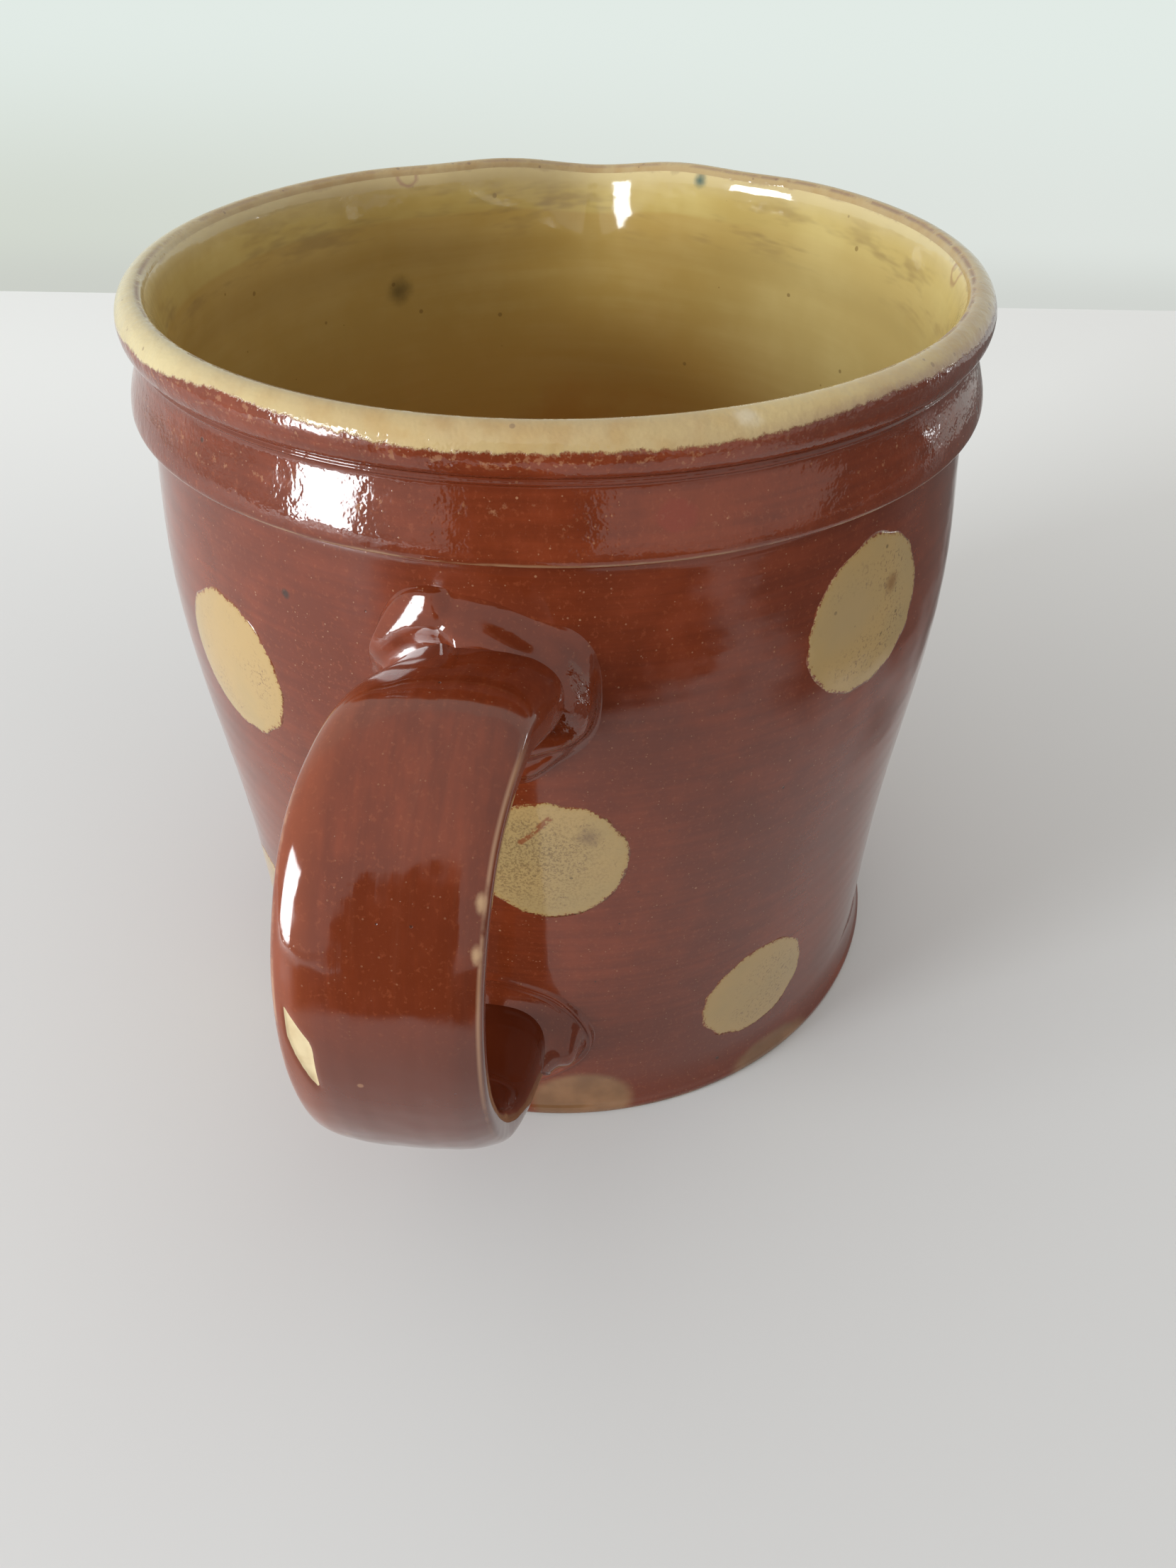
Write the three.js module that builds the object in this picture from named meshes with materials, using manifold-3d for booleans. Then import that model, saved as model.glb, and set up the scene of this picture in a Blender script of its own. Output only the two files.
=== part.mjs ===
// A small wheel-thrown earthenware jug with a pinched spout, a pulled strap handle, a yellow slip
// lining and three rows of cream slip dots. Millimetres, +Z up, the spout towards +X and the handle
// towards -X. The origin is the centre of the flat underside.

import * as THREE from 'three';
import { ParametricGeometry } from 'three/addons/geometries/ParametricGeometry.js';
import { mergeVertices } from 'three/addons/utils/BufferGeometryUtils.js';
import Module from 'manifold-3d';

const wasm = await Module();
wasm.setup();

// ---------------------------------------------------------------- driving dimensions

const GAP = 0.3; // between any two pieces that touch on the real jug

const HEIGHT = 107.3; // to the crest of the rim, on the handle's side
const WAIST_RADIUS = 50.3; // the nearly straight lower wall
const BELLY_SWELL = 2.9; // how far the belly stands out from the waist
const BELLY_HEIGHT = 69;
const BELLY_SPREAD_BELOW = 29;
const BELLY_SPREAD_ABOVE = 23;
const FOOT_FLARE = 1.3;
const FOOT_FLARE_HEIGHT = 3.5;
const FOOT_ROUND = 1; // rounding of the bottom edge

const COLLAR_BOTTOM = 93.2;
const COLLAR_RADIUS = 53.2;
const GROOVE_RADIUS = 51.4;
const GROOVE_HEIGHT = 101.5;
const BEAD_RADIUS = 52.7;
const BEAD_HEIGHT = 104.3; // where the rolled rim is widest
const LIP_RADIUS = 48.6; // inner edge of the mouth

const FLOOR_THICKNESS = 6;
const FLOOR_CORNER = 9; // radius inside, where wall and floor meet
const LINING_THICKNESS = 0.7;

const SPOUT_REACH = 5; // the lip is drawn outwards by this much
const SPOUT_HALF_WIDTH = 12; // degrees
const SPOUT_DIP = 2.2; // and sinks by this much
const SPOUT_DIP_HALF_WIDTH = 11; // degrees
const SPOUT_START = 75; // height at which the wall begins to lean out
const SPOUT_SLOPE_END = HEIGHT + 6; // it is still leaning at the rim
const SPOUT_GAIN = 1.2; // brings the lean at the rim back to about the full reach
const PINCH_DEPTH = 1.2; // the wall is pressed in on both sides of the spout
const PINCH_ANGLE = 28; // degrees
const PINCH_HALF_WIDTH = 9; // degrees
const RIM_SAG = 2; // the rim is this much lower on the spout's side
const SAG_START = 60;

const DOT_THICKNESS = 0.5;

const AROUND = 72; // facets around the jug

// ---------------------------------------------------------------- the thrown wall

const smooth = (value, from, to) => THREE.MathUtils.smoothstep(value, from, to);
const bump = (value, width) => Math.exp(-((value / width) ** 2));
const degrees = THREE.MathUtils.degToRad;

// Outside radius of the wall between the foot and the collar.
function wallRadius(z) {
  const spread = z < BELLY_HEIGHT ? BELLY_SPREAD_BELOW : BELLY_SPREAD_ABOVE;
  const belly = BELLY_SWELL * bump(z - BELLY_HEIGHT, spread);
  return WAIST_RADIUS + belly + FOOT_FLARE * bump(z, FOOT_FLARE_HEIGHT);
}

// The wall from just above the foot to below the collar, with its points closer together at the foot.
function wallOutline(offset) {
  const steps = 13;
  const points = [];
  for (let i = 1; i <= steps; i++) {
    const z = FOOT_ROUND + (COLLAR_BOTTOM - FOOT_ROUND) * (i / steps) ** 1.4;
    points.push(new THREE.Vector2(wallRadius(z) + offset, z));
  }
  return points;
}

// Outline of the outside, as (radius, height), from the axis along the underside to the rim's crest.
function outsideOutline(crestRadius) {
  const outline = new THREE.Path();
  outline.moveTo(0, 0);
  outline.lineTo(wallRadius(0) - FOOT_ROUND, 0);
  outline.quadraticCurveTo(wallRadius(0), 0, wallRadius(FOOT_ROUND), FOOT_ROUND);
  for (const point of wallOutline(0)) outline.lineTo(point.x, point.y);
  outline.lineTo(COLLAR_RADIUS - 0.8, COLLAR_BOTTOM + 0.2);
  outline.splineThru([
    new THREE.Vector2(COLLAR_RADIUS, COLLAR_BOTTOM + 1),
    new THREE.Vector2(COLLAR_RADIUS - 0.6, COLLAR_BOTTOM + 3.5),
    new THREE.Vector2(GROOVE_RADIUS + 0.1, GROOVE_HEIGHT - 1),
  ]);
  outline.lineTo(GROOVE_RADIUS, GROOVE_HEIGHT);
  outline.lineTo(BEAD_RADIUS - 0.4, GROOVE_HEIGHT + 0.9);
  outline.quadraticCurveTo(BEAD_RADIUS + 0.1, BEAD_HEIGHT - 0.4, BEAD_RADIUS - 0.1, BEAD_HEIGHT + 0.8);
  outline.quadraticCurveTo(BEAD_RADIUS - 0.6, HEIGHT - 0.3, crestRadius + 0.7, HEIGHT);
  return outline.getPoints(3);
}

// Outline of the inside, offset outwards into the clay, from the rim down to the axis.
function insideOutline(offset) {
  const wall = new THREE.SplineCurve([
    new THREE.Vector2(LIP_RADIUS, HEIGHT - 1),
    new THREE.Vector2(LIP_RADIUS - 0.3, HEIGHT - 4),
    new THREE.Vector2(LIP_RADIUS - 0.8, HEIGHT - 12),
    new THREE.Vector2(LIP_RADIUS - 0.3, BELLY_HEIGHT),
    new THREE.Vector2(WAIST_RADIUS - 3.2, BELLY_HEIGHT - BELLY_SPREAD_BELOW),
    new THREE.Vector2(WAIST_RADIUS - 4.6, FLOOR_THICKNESS + FLOOR_CORNER),
  ]);
  const outline = wall.getPoints(11).map((p) => new THREE.Vector2(p.x + offset, p.y));
  const corner = outline.at(-1);
  const floor = FLOOR_THICKNESS - offset;
  const turn = new THREE.QuadraticBezierCurve(
    corner,
    new THREE.Vector2(corner.x - 0.4, floor),
    new THREE.Vector2(corner.x - FLOOR_CORNER, floor),
  );
  return [...outline, ...turn.getPoints(4).slice(1), new THREE.Vector2(0, floor)];
}

// Moves a point of the turned shape to where the potter's fingers left it: the rim sags a little
// towards the spout, and the spout itself is drawn out, sunk and pinched in on both sides.
function pinch(point) {
  const angle = THREE.MathUtils.radToDeg(Math.atan2(point.y, point.x));
  const radius = Math.hypot(point.x, point.y);
  const lean = smooth(point.z, SPOUT_START, SPOUT_SLOPE_END) * SPOUT_GAIN;
  const reach = SPOUT_REACH * bump(angle, SPOUT_HALF_WIDTH);
  const press = PINCH_DEPTH * bump(Math.abs(angle) - PINCH_ANGLE, PINCH_HALF_WIDTH);
  const grown = radius < 1 ? 1 : 1 + ((reach - press) * lean) / radius;
  const sag = RIM_SAG * 0.5 * (1 + Math.cos(degrees(angle))) * smooth(point.z, SAG_START, HEIGHT);
  const dip = SPOUT_DIP * bump(angle, SPOUT_DIP_HALF_WIDTH) * lean;
  return point.set(point.x * grown, point.y * grown, point.z - sag - dip);
}

// Turns an outline about Z, then pinches it.
function turned(outline, pinched = true) {
  const geometry = new THREE.LatheGeometry(outline, AROUND);
  geometry.rotateX(Math.PI / 2);
  if (pinched) reshape(geometry, pinch);
  return geometry;
}

// Turns every facet over. The lining's outline runs the opposite way around, so that its back has
// the same facets as the clay behind it and the gap between them stays even at the spout.
function turnedOver(geometry) {
  const index = geometry.index.array;
  for (let i = 0; i < index.length; i += 3) [index[i], index[i + 1]] = [index[i + 1], index[i]];
  geometry.computeVertexNormals();
  return geometry;
}

function reshape(geometry, move) {
  const position = geometry.attributes.position;
  const point = new THREE.Vector3();
  for (let i = 0; i < position.count; i++) {
    move(point.fromBufferAttribute(position, i));
    position.setXYZ(i, point.x, point.y, point.z);
  }
  geometry.computeVertexNormals();
}

// ---------------------------------------------------------------- cutting

function toSolid(geometry) {
  const bare = new THREE.BufferGeometry();
  bare.setAttribute('position', geometry.attributes.position.clone());
  bare.setIndex(geometry.index.clone());
  const merged = mergeVertices(bare, 1e-4);
  const kept = [];
  const index = merged.index.array;
  for (let i = 0; i < index.length; i += 3) {
    const [a, b, c] = [index[i], index[i + 1], index[i + 2]];
    if (a !== b && b !== c && c !== a) kept.push(a, b, c);
  }
  const vertProperties = new Float32Array(merged.attributes.position.array);
  const triVerts = new Uint32Array(kept);
  return new wasm.Manifold(new wasm.Mesh({ numProp: 3, vertProperties, triVerts }));
}

function toGeometry(solid) {
  const mesh = solid.getMesh();
  const geometry = new THREE.BufferGeometry();
  geometry.setAttribute('position', new THREE.BufferAttribute(mesh.vertProperties, 3));
  geometry.setIndex(new THREE.BufferAttribute(mesh.triVerts, 1));
  geometry.computeVertexNormals();
  return geometry;
}

// Everything within the outside of the wall plus the gap: what the handle and its clay stop at.
function wallCutter() {
  const bottom = new THREE.Vector2(wallRadius(0) + GAP, 0);
  const wall = wallOutline(GAP);
  const axis = [new THREE.Vector2(0, 0), new THREE.Vector2(0, COLLAR_BOTTOM)];
  return toSolid(turned([axis[0], bottom, ...wall, axis[1]], false));
}

// ---------------------------------------------------------------- the handle

// The middle of the strap, from inside the wall below the collar to inside the wall above the foot.
// It springs upwards, and leans a few millimetres to +Y, as the hand-pulled one does.
const HANDLE_PATH = new THREE.CatmullRomCurve3([
  new THREE.Vector3(-47, 1.6, 76.5),
  new THREE.Vector3(-57, 3.0, 80.8),
  new THREE.Vector3(-65.5, 5.2, 82.8),
  new THREE.Vector3(-75.3, 7.2, 79.0),
  new THREE.Vector3(-82.3, 8.1, 69.4),
  new THREE.Vector3(-84.5, 8.4, 57.5),
  new THREE.Vector3(-82.2, 8.3, 44.6),
  new THREE.Vector3(-75.7, 8.0, 33.4),
  new THREE.Vector3(-66.6, 7.5, 25.0),
  new THREE.Vector3(-57, 6.8, 19.8),
  new THREE.Vector3(-47, 5.6, 16.0),
]);
const STRAP_HALF_WIDTH = 10;
const STRAP_OUTER_BULGE = 2.7; // from the path to the outer face
const STRAP_INNER_BULGE = 3.9; // from the path to the inner face
const ROOT_HALF_WIDTH = 9.3; // the strap is pulled from a narrower, thicker stub at the top
const ROOT_EXTRA = 3.2; // added to both bulges there
const ROOT_LENGTH = 0.3; // fraction of the path over which the stub thins out
const TAIL_EXTRA = 1.6; // the tail is thicker again where it is pressed on
const TAIL_START = 0.78;
const TAIL_SWELL = 2.2; // the inner face rises by this much more before it meets the wall
const ROOT_SQUARENESS = 1.9; // exponent of the section: 2 is an ellipse
const STRAP_SQUARENESS = 2.5;

// A point on the strap: turn goes once around the section, along runs from top to bottom.
function strapPoint(turn, along, grow, target) {
  const centre = HANDLE_PATH.getPointAt(along);
  const tangent = HANDLE_PATH.getTangentAt(along);
  const across = new THREE.Vector3(0, 1, 0).addScaledVector(tangent, -tangent.y).normalize();
  const outwards = new THREE.Vector3().crossVectors(across, tangent);
  const root = 1 - smooth(along, 0, ROOT_LENGTH);
  const extra = ROOT_EXTRA * root + TAIL_EXTRA * smooth(along, TAIL_START, 1) + grow;
  const halfWidth = THREE.MathUtils.lerp(STRAP_HALF_WIDTH, ROOT_HALF_WIDTH, root) + grow;
  const squareness = THREE.MathUtils.lerp(STRAP_SQUARENESS, ROOT_SQUARENESS, root);
  const squared = (value) => Math.sign(value) * Math.abs(value) ** (2 / squareness);
  const angle = -turn * 2 * Math.PI;
  const swollen = STRAP_INNER_BULGE + TAIL_SWELL * smooth(along, TAIL_START, 0.93);
  const bulge = Math.sin(angle) > 0 ? STRAP_OUTER_BULGE : swollen;
  target.copy(centre);
  target.addScaledVector(across, halfWidth * squared(Math.cos(angle)));
  target.addScaledVector(outwards, (bulge + extra) * squared(Math.sin(angle)));
}

function strap(grow) {
  const rings = 30;
  const shape = (turn, v, target) => {
    const ring = Math.round(v * rings);
    const along = THREE.MathUtils.clamp((ring - 1) / (rings - 2), 0, 1);
    if (ring === 0 || ring === rings) target.copy(HANDLE_PATH.getPointAt(along));
    else strapPoint(turn, along, grow, target);
  };
  return toSolid(new ParametricGeometry(shape, 24, rings));
}

// Lumps of soft clay smeared around the ends of the handle: centre, then half sizes in X, Y and Z.
const UPPER_LUMP = { centre: [-50.5, 2.4, 78.6], half: [7, 13.4, 12.2] };
const UPPER_DAB = { centre: [-51, 9.6, 85.4], half: [3.6, 5.2, 5.6] }; // pressed on at its upper left
const LOWER_LUMP = { centre: [-47.5, 4.8, 17.8], half: [7.5, 14.6, 14] };

function clayLump({ centre, half }, rings = 20) {
  const lump = new THREE.SphereGeometry(1, 32, rings);
  lump.scale(...half);
  lump.translate(...centre);
  return toSolid(lump);
}

// ---------------------------------------------------------------- the slip dots

// Each dot is [azimuth in degrees, height of its middle, width, height].
const DOT_ROWS = {
  upper: [
    [138.8, 71.1, 19.0, 19.0],
    [-132.4, 79.2, 20.2, 19.4],
    [-43, 73.5, 20.4, 19.6],
    [48, 75.0, 19.6, 20.2],
  ],
  middle: [
    [-175.8, 53.2, 19.6, 20.6],
    [-86, 50.5, 20.0, 19.2],
    [5, 53.0, 19.4, 20.0],
    [95, 51.5, 20.6, 19.6],
  ],
  lower: [
    [-141.0, 17.7, 18.8, 18.0],
    [-53, 19.5, 20.2, 19.0],
    [37, 18.0, 19.8, 19.4],
    [127, 19.0, 20.6, 18.8],
  ],
};

// A thin pad that follows the wall, with a soft edge and a slightly uneven outline.
function slipDot([azimuth, height, width, tall], seed) {
  const faces = [
    [0, DOT_THICKNESS],
    [0.5, DOT_THICKNESS],
    [0.93, 0.8 * DOT_THICKNESS],
    [1, 0.3 * DOT_THICKNESS],
    [0.97, 0],
    [0.5, 0],
    [0, 0],
  ];
  const shape = (u, v, target) => {
    const [spread, lift] = faces[Math.round(v * (faces.length - 1))];
    const around = -u * 2 * Math.PI;
    const uneven = 1 + 0.02 * Math.sin(2 * around + seed) + 0.015 * Math.sin(3 * around + 2 * seed);
    const across = 0.5 * width * spread * uneven * Math.cos(around);
    const z = height + 0.5 * tall * spread * uneven * Math.sin(around);
    const radius = wallRadius(z) + GAP + lift;
    const angle = degrees(azimuth) + across / wallRadius(height);
    target.set(radius * Math.cos(angle), radius * Math.sin(angle), z);
    pinch(target);
  };
  return new ParametricGeometry(shape, 22, faces.length - 1);
}

// ---------------------------------------------------------------- the assembly

const group = new THREE.Group();

function add(name, geometry, colour, roughness) {
  const material = new THREE.MeshStandardMaterial({ color: colour, roughness, metalness: 0 });
  const mesh = new THREE.Mesh(geometry, material);
  mesh.name = name;
  group.add(mesh);
}

const RED_SLIP = '#8a4026';
const YELLOW_SLIP = '#b8a052';
const CREAM_SLIP = '#dcca92';

const bodyInside = insideOutline(LINING_THICKNESS + GAP);
add('jug_body', turned([...outsideOutline(bodyInside[0].x), ...bodyInside]), RED_SLIP, 0.15);

const liningFace = insideOutline(0).reverse();
const liningBack = insideOutline(LINING_THICKNESS);
const liningCrest = new THREE.Vector2(LIP_RADIUS + 0.4, HEIGHT - 0.4);
const lining = turnedOver(turned([...liningFace, liningCrest, ...liningBack]));
add('yellow_slip_lining', lining, YELLOW_SLIP, 0.12);

const wall = wallCutter();
const grownStrap = strap(GAP);
add('handle', toGeometry(strap(0).subtract(wall)), RED_SLIP, 0.15);

const upperLump = clayLump(UPPER_LUMP).add(clayLump(UPPER_DAB, 14));
add('upper_handle_joint', toGeometry(upperLump.subtract(wall).subtract(grownStrap)), RED_SLIP, 0.18);

const lowerLump = clayLump(LOWER_LUMP);
add('lower_handle_joint', toGeometry(lowerLump.subtract(wall).subtract(grownStrap)), RED_SLIP, 0.18);

for (const [row, dots] of Object.entries(DOT_ROWS)) {
  dots.forEach((dot, i) => add(`${row}_slip_dot_${i + 1}`, slipDot(dot, i + dot[1]), CREAM_SLIP, 0.2));
}

export default group;
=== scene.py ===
"""The looks of a small slipware jug: red-brown glaze, yellow lining and cream dots."""

import math

import bpy
import numpy as np
from mathutils import Matrix, Vector


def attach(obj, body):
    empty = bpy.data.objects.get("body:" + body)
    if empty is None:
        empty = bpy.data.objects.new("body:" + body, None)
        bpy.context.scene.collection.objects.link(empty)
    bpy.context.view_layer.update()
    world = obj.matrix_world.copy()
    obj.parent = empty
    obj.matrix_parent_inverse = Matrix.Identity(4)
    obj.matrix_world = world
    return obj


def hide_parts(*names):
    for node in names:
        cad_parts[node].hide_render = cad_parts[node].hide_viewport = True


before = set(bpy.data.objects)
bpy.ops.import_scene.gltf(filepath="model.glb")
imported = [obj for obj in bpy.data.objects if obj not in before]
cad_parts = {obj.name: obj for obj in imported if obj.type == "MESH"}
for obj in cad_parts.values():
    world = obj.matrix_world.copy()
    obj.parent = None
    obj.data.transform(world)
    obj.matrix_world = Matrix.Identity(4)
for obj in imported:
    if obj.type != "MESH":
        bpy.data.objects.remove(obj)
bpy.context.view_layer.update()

MM = 0.001  # shapes are worked out in millimetres

# ---------------------------------------------------------------- dimensions of the thrown shape

HEIGHT = 107.3
WAIST_RADIUS, BELLY_SWELL, BELLY_HEIGHT = 50.3, 2.9, 69.0
BELLY_SPREAD_BELOW, BELLY_SPREAD_ABOVE = 29.0, 23.0
FOOT_FLARE, FOOT_FLARE_HEIGHT = 1.3, 3.5
FLOOR, FLOOR_CORNER = 6.0, 9.0
LINING_THICKNESS = 0.6
SPOUT_REACH, SPOUT_HALF_WIDTH = 4.93, 12.0
SPOUT_DIP, SPOUT_DIP_HALF_WIDTH = 2.2, 11.0
SPOUT_START, SPOUT_END, SPOUT_GROWTH = 75.0, HEIGHT + 6, 1.2
PINCH_DEPTH, PINCH_ANGLE, PINCH_HALF_WIDTH = 1.2, 28.0, 9.0
RIM_SAG, SAG_START = 2.0, 60.0
AROUND = 320


def smoothstep(x, low, high):
    t = np.clip((x - low) / (high - low), 0, 1)
    return t * t * (3 - 2 * t)


def bump(x, width):
    return np.exp(-((x / width) ** 2))


def wall_radius(z):
    spread = np.where(z < BELLY_HEIGHT, BELLY_SPREAD_BELOW, BELLY_SPREAD_ABOVE)
    belly = BELLY_SWELL * bump(z - BELLY_HEIGHT, spread)
    return WAIST_RADIUS + belly + FOOT_FLARE * bump(z, FOOT_FLARE_HEIGHT)


def pinched(points):
    """The turned shape as the potter's fingers left it: a sagging rim and a drawn-out spout."""
    x, y, z = points.T
    angle = np.degrees(np.arctan2(y, x))
    radius = np.hypot(x, y)
    lean = smoothstep(z, SPOUT_START, SPOUT_END) * SPOUT_GROWTH
    reach = SPOUT_REACH * bump(angle, SPOUT_HALF_WIDTH)
    press = PINCH_DEPTH * bump(np.abs(angle) - PINCH_ANGLE, PINCH_HALF_WIDTH)
    grown = np.where(radius < 1, 1, 1 + (reach - press) * lean / np.maximum(radius, 1))
    sag = RIM_SAG * 0.5 * (1 + np.cos(np.radians(angle))) * smoothstep(z, SAG_START, HEIGHT)
    dip = SPOUT_DIP * bump(angle, SPOUT_DIP_HALF_WIDTH) * lean
    return np.stack([x * grown, y * grown, z - sag - dip], 1)


def rounded(points, times=2):
    """Corner cutting: a smooth line through the middles of an outline's sides."""
    points = np.array(points, float)
    for _ in range(times):
        a, b = points[:-1], points[1:]
        cut = np.stack([0.75 * a + 0.25 * b, 0.25 * a + 0.75 * b], 1).reshape(-1, 2)
        points = np.concatenate([points[:1], cut[1:-1], points[-1:]])
    return points


def waves(angle, seed, count=5, lowest=1):
    """An even, smooth wobble around a ring, between about -1 and 1."""
    draw = np.random.default_rng(seed)
    total = np.zeros_like(angle)
    for k in range(lowest, lowest + count):
        total += np.sin(k * angle + draw.uniform(0, 2 * math.pi)) / math.sqrt(count)
    return total


# ---------------------------------------------------------------- making a piece


def make_piece(name, points, faces, material, replaced, attributes=None, sharp=None):
    mesh = bpy.data.meshes.new(name)
    mesh.from_pydata((np.asarray(points) * MM).tolist(), [], faces)
    mesh.update()
    mesh.shade_smooth()
    for key, values in (attributes or {}).items():
        attribute = mesh.attributes.new(key, "FLOAT", "POINT")
        attribute.data.foreach_set("value", np.asarray(values, np.float32))
    if sharp is not None:
        edges = np.zeros(len(mesh.edges) * 2, np.int32)
        mesh.edges.foreach_get("vertices", edges)
        both = np.isin(edges.reshape(-1, 2), np.asarray(sharp)).all(1)
        mesh.attributes.new("sharp_edge", "BOOLEAN", "EDGE").data.foreach_set("value", both)
    piece = bpy.data.objects.new(name, mesh)
    bpy.context.scene.collection.objects.link(piece)
    mesh.materials.append(material)
    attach(piece, "root")
    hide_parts(replaced)


def grid_faces(rows, columns, closed_rows=False):
    """Quads of a grid whose columns close around; the rows close too for a ring-shaped piece."""
    faces = []
    for i in range(rows if closed_rows else rows - 1):
        a, b = i * columns, ((i + 1) % rows) * columns
        for j in range(columns):
            k = (j + 1) % columns
            faces.append((a + j, a + k, b + k, b + j))
    return faces


def revolve(outline, ripple=0.0):
    """Turns an outline of (radius, height) that starts and ends on the axis, and pinches it."""
    angle = np.linspace(0, 2 * math.pi, AROUND, endpoint=False)
    inner = outline[1:-1]
    radius = inner[:, :1] * np.ones((1, AROUND))
    height = inner[:, 1:] * np.ones((1, AROUND))
    if ripple:
        radius = radius + ripple * np.sin(height * 1.9 + angle + 1.3 * np.sin(height * 0.31))
    ring = np.stack([radius * np.cos(angle), radius * np.sin(angle), height], 2).reshape(-1, 3)
    points = np.concatenate([pinched(ring), [[0, 0, outline[0, 1]], [0, 0, outline[-1, 1]]]])
    rows = len(inner)
    faces = grid_faces(rows, AROUND)
    first, last = rows * AROUND, rows * AROUND + 1
    end = (rows - 1) * AROUND
    for j in range(AROUND):
        k = (j + 1) % AROUND
        faces.append((first, k, j))
        faces.append((last, end + j, end + k))
    return points, faces


def per_ring(values, ends=(0.0, 0.0)):
    """A value for every point of revolve(): one for each ring, then those of the two ends."""
    return np.concatenate([np.repeat(values, AROUND), ends])


# ---------------------------------------------------------------- materials

GLAZE_IOR = 1.58


class Shader:
    """A material's nodes, with short calls for the ones that the glazes use."""

    def __init__(self, name):
        self.material = bpy.data.materials.new(name)
        self.material.use_nodes = True
        self.tree = self.material.node_tree
        self.surface = self.tree.nodes["Principled BSDF"]
        self.place = self.tree.nodes.new("ShaderNodeTexCoord").outputs["Object"]
        parts = self.make("ShaderNodeSeparateXYZ", {0: self.place})
        self.z = parts.outputs[2]

    def make(self, kind, inputs=None, **settings):
        node = self.tree.nodes.new(kind)
        for key, value in settings.items():
            setattr(node, key, value)
        for key, value in (inputs or {}).items():
            if isinstance(value, bpy.types.NodeSocket):
                self.tree.links.new(value, node.inputs[key])
            else:
                node.inputs[key].default_value = value
        return node

    def math(self, operation, a, b=0.0, clamp=False):
        node = self.make("ShaderNodeMath", {0: a, 1: b}, operation=operation, use_clamp=clamp)
        return node.outputs[0]

    def add(self, a, b):
        return self.math("ADD", a, b)

    def times(self, a, b):
        return self.math("MULTIPLY", a, b)

    def either(self, a, b):
        return self.math("MAXIMUM", a, b)

    def inverse(self, a):
        return self.math("SUBTRACT", 1.0, a)

    def step(self, value, low, high):
        """0 below low and 1 above high, or the other way round, with a soft edge."""
        node = self.make(
            "ShaderNodeMapRange", {0: value, 1: low, 2: high}, interpolation_type="SMOOTHSTEP"
        )
        return node.outputs[0]

    def band(self, value, low, high, soft):
        return self.times(
            self.step(value, low - soft, low + soft), self.step(value, high + soft, high - soft)
        )

    def attribute(self, name):
        return self.make("ShaderNodeAttribute", attribute_name=name).outputs["Fac"]

    def stretched(self, scale, place=None):
        return self.make(
            "ShaderNodeVectorMath",
            {0: place or self.place, 1: scale},
            operation="MULTIPLY",
        ).outputs[0]

    def noise(self, scale, detail=2.0, roughness=0.5, place=None):
        """Cloudy noise between 0 and 1. Scale is in lumps per metre."""
        node = self.make(
            "ShaderNodeTexNoise",
            {
                "Vector": place or self.place, "Scale": scale,
                "Detail": detail, "Roughness": roughness,
            },
        )
        return node.outputs["Fac"]

    def swing(self, *settings):
        """The same noise around zero."""
        return self.math("SUBTRACT", self.noise(*settings), 0.5)

    def specks(self, scale, size, share, soft=0.35, place=None):
        """Small round specks, in a share of the cells of a grid of scale cells per metre."""
        node = self.make("ShaderNodeTexVoronoi", {"Vector": place or self.place, "Scale": scale})
        picked = self.make("ShaderNodeSeparateColor", {0: node.outputs["Color"]})
        own_size = self.times(picked.outputs[1], size)
        near = self.step(
            self.math("DIVIDE", node.outputs["Distance"], self.add(own_size, 0.02)), 1.0, 1.0 - soft
        )
        return self.times(near, self.math("LESS_THAN", picked.outputs[0], share))

    def spot(self, centre, radius, soft=0.4, stretch=(1, 1, 1), wobble=0.0):
        """A patch around a point, in millimetres, with a ragged edge."""
        away = self.make(
            "ShaderNodeVectorMath",
            {0: self.place, 1: tuple(c * MM for c in centre)},
            operation="SUBTRACT",
        ).outputs[0]
        away = self.stretched(tuple(1 / (s * radius * MM) for s in stretch), away)
        length = self.make("ShaderNodeVectorMath", {0: away}, operation="LENGTH").outputs["Value"]
        if wobble:
            length = self.add(length, self.times(self.swing(900 / radius, 3.0), 2 * wobble))
        return self.step(length, 1.0 + soft, 1.0 - soft)

    def scratch(self, a, b, width):
        """A line from a to b, in millimetres."""
        a, b = Vector(a) * MM, Vector(b) * MM
        away = self.make(
            "ShaderNodeVectorMath", {0: self.place, 1: tuple(a)}, operation="SUBTRACT"
        ).outputs[0]
        along = self.make(
            "ShaderNodeVectorMath",
            {0: away, 1: tuple((b - a) / (b - a).length_squared)},
            operation="DOT_PRODUCT",
        ).outputs["Value"]
        along = self.math("ADD", along, 0.0, clamp=True)
        nearest = self.make("ShaderNodeVectorMath", {0: tuple(b - a)}, operation="SCALE")
        self.tree.links.new(along, nearest.inputs["Scale"])
        gap = self.make(
            "ShaderNodeVectorMath", {0: away, 1: nearest.outputs[0]}, operation="DISTANCE"
        ).outputs["Value"]
        return self.step(gap, width * MM, 0.4 * width * MM)

    def mix(self, factor, a, b):
        node = self.make("ShaderNodeMix", data_type="RGBA")
        for key, value in (("Factor", factor), ("A", a), ("B", b)):
            kind = "VALUE" if key == "Factor" else "RGBA"
            socket = next(s for s in node.inputs if s.name == key and s.type == kind)
            if isinstance(value, bpy.types.NodeSocket):
                self.tree.links.new(value, socket)
            else:
                socket.default_value = value if key == "Factor" else (*value, 1.0)
        return next(s for s in node.outputs if s.type == "RGBA")

    def paint(self, colour, new, mask, strength):
        """The colour with a new one over it, as strong as the mask and the strength say."""
        return self.mix(self.times(mask, strength), colour, new)

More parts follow.
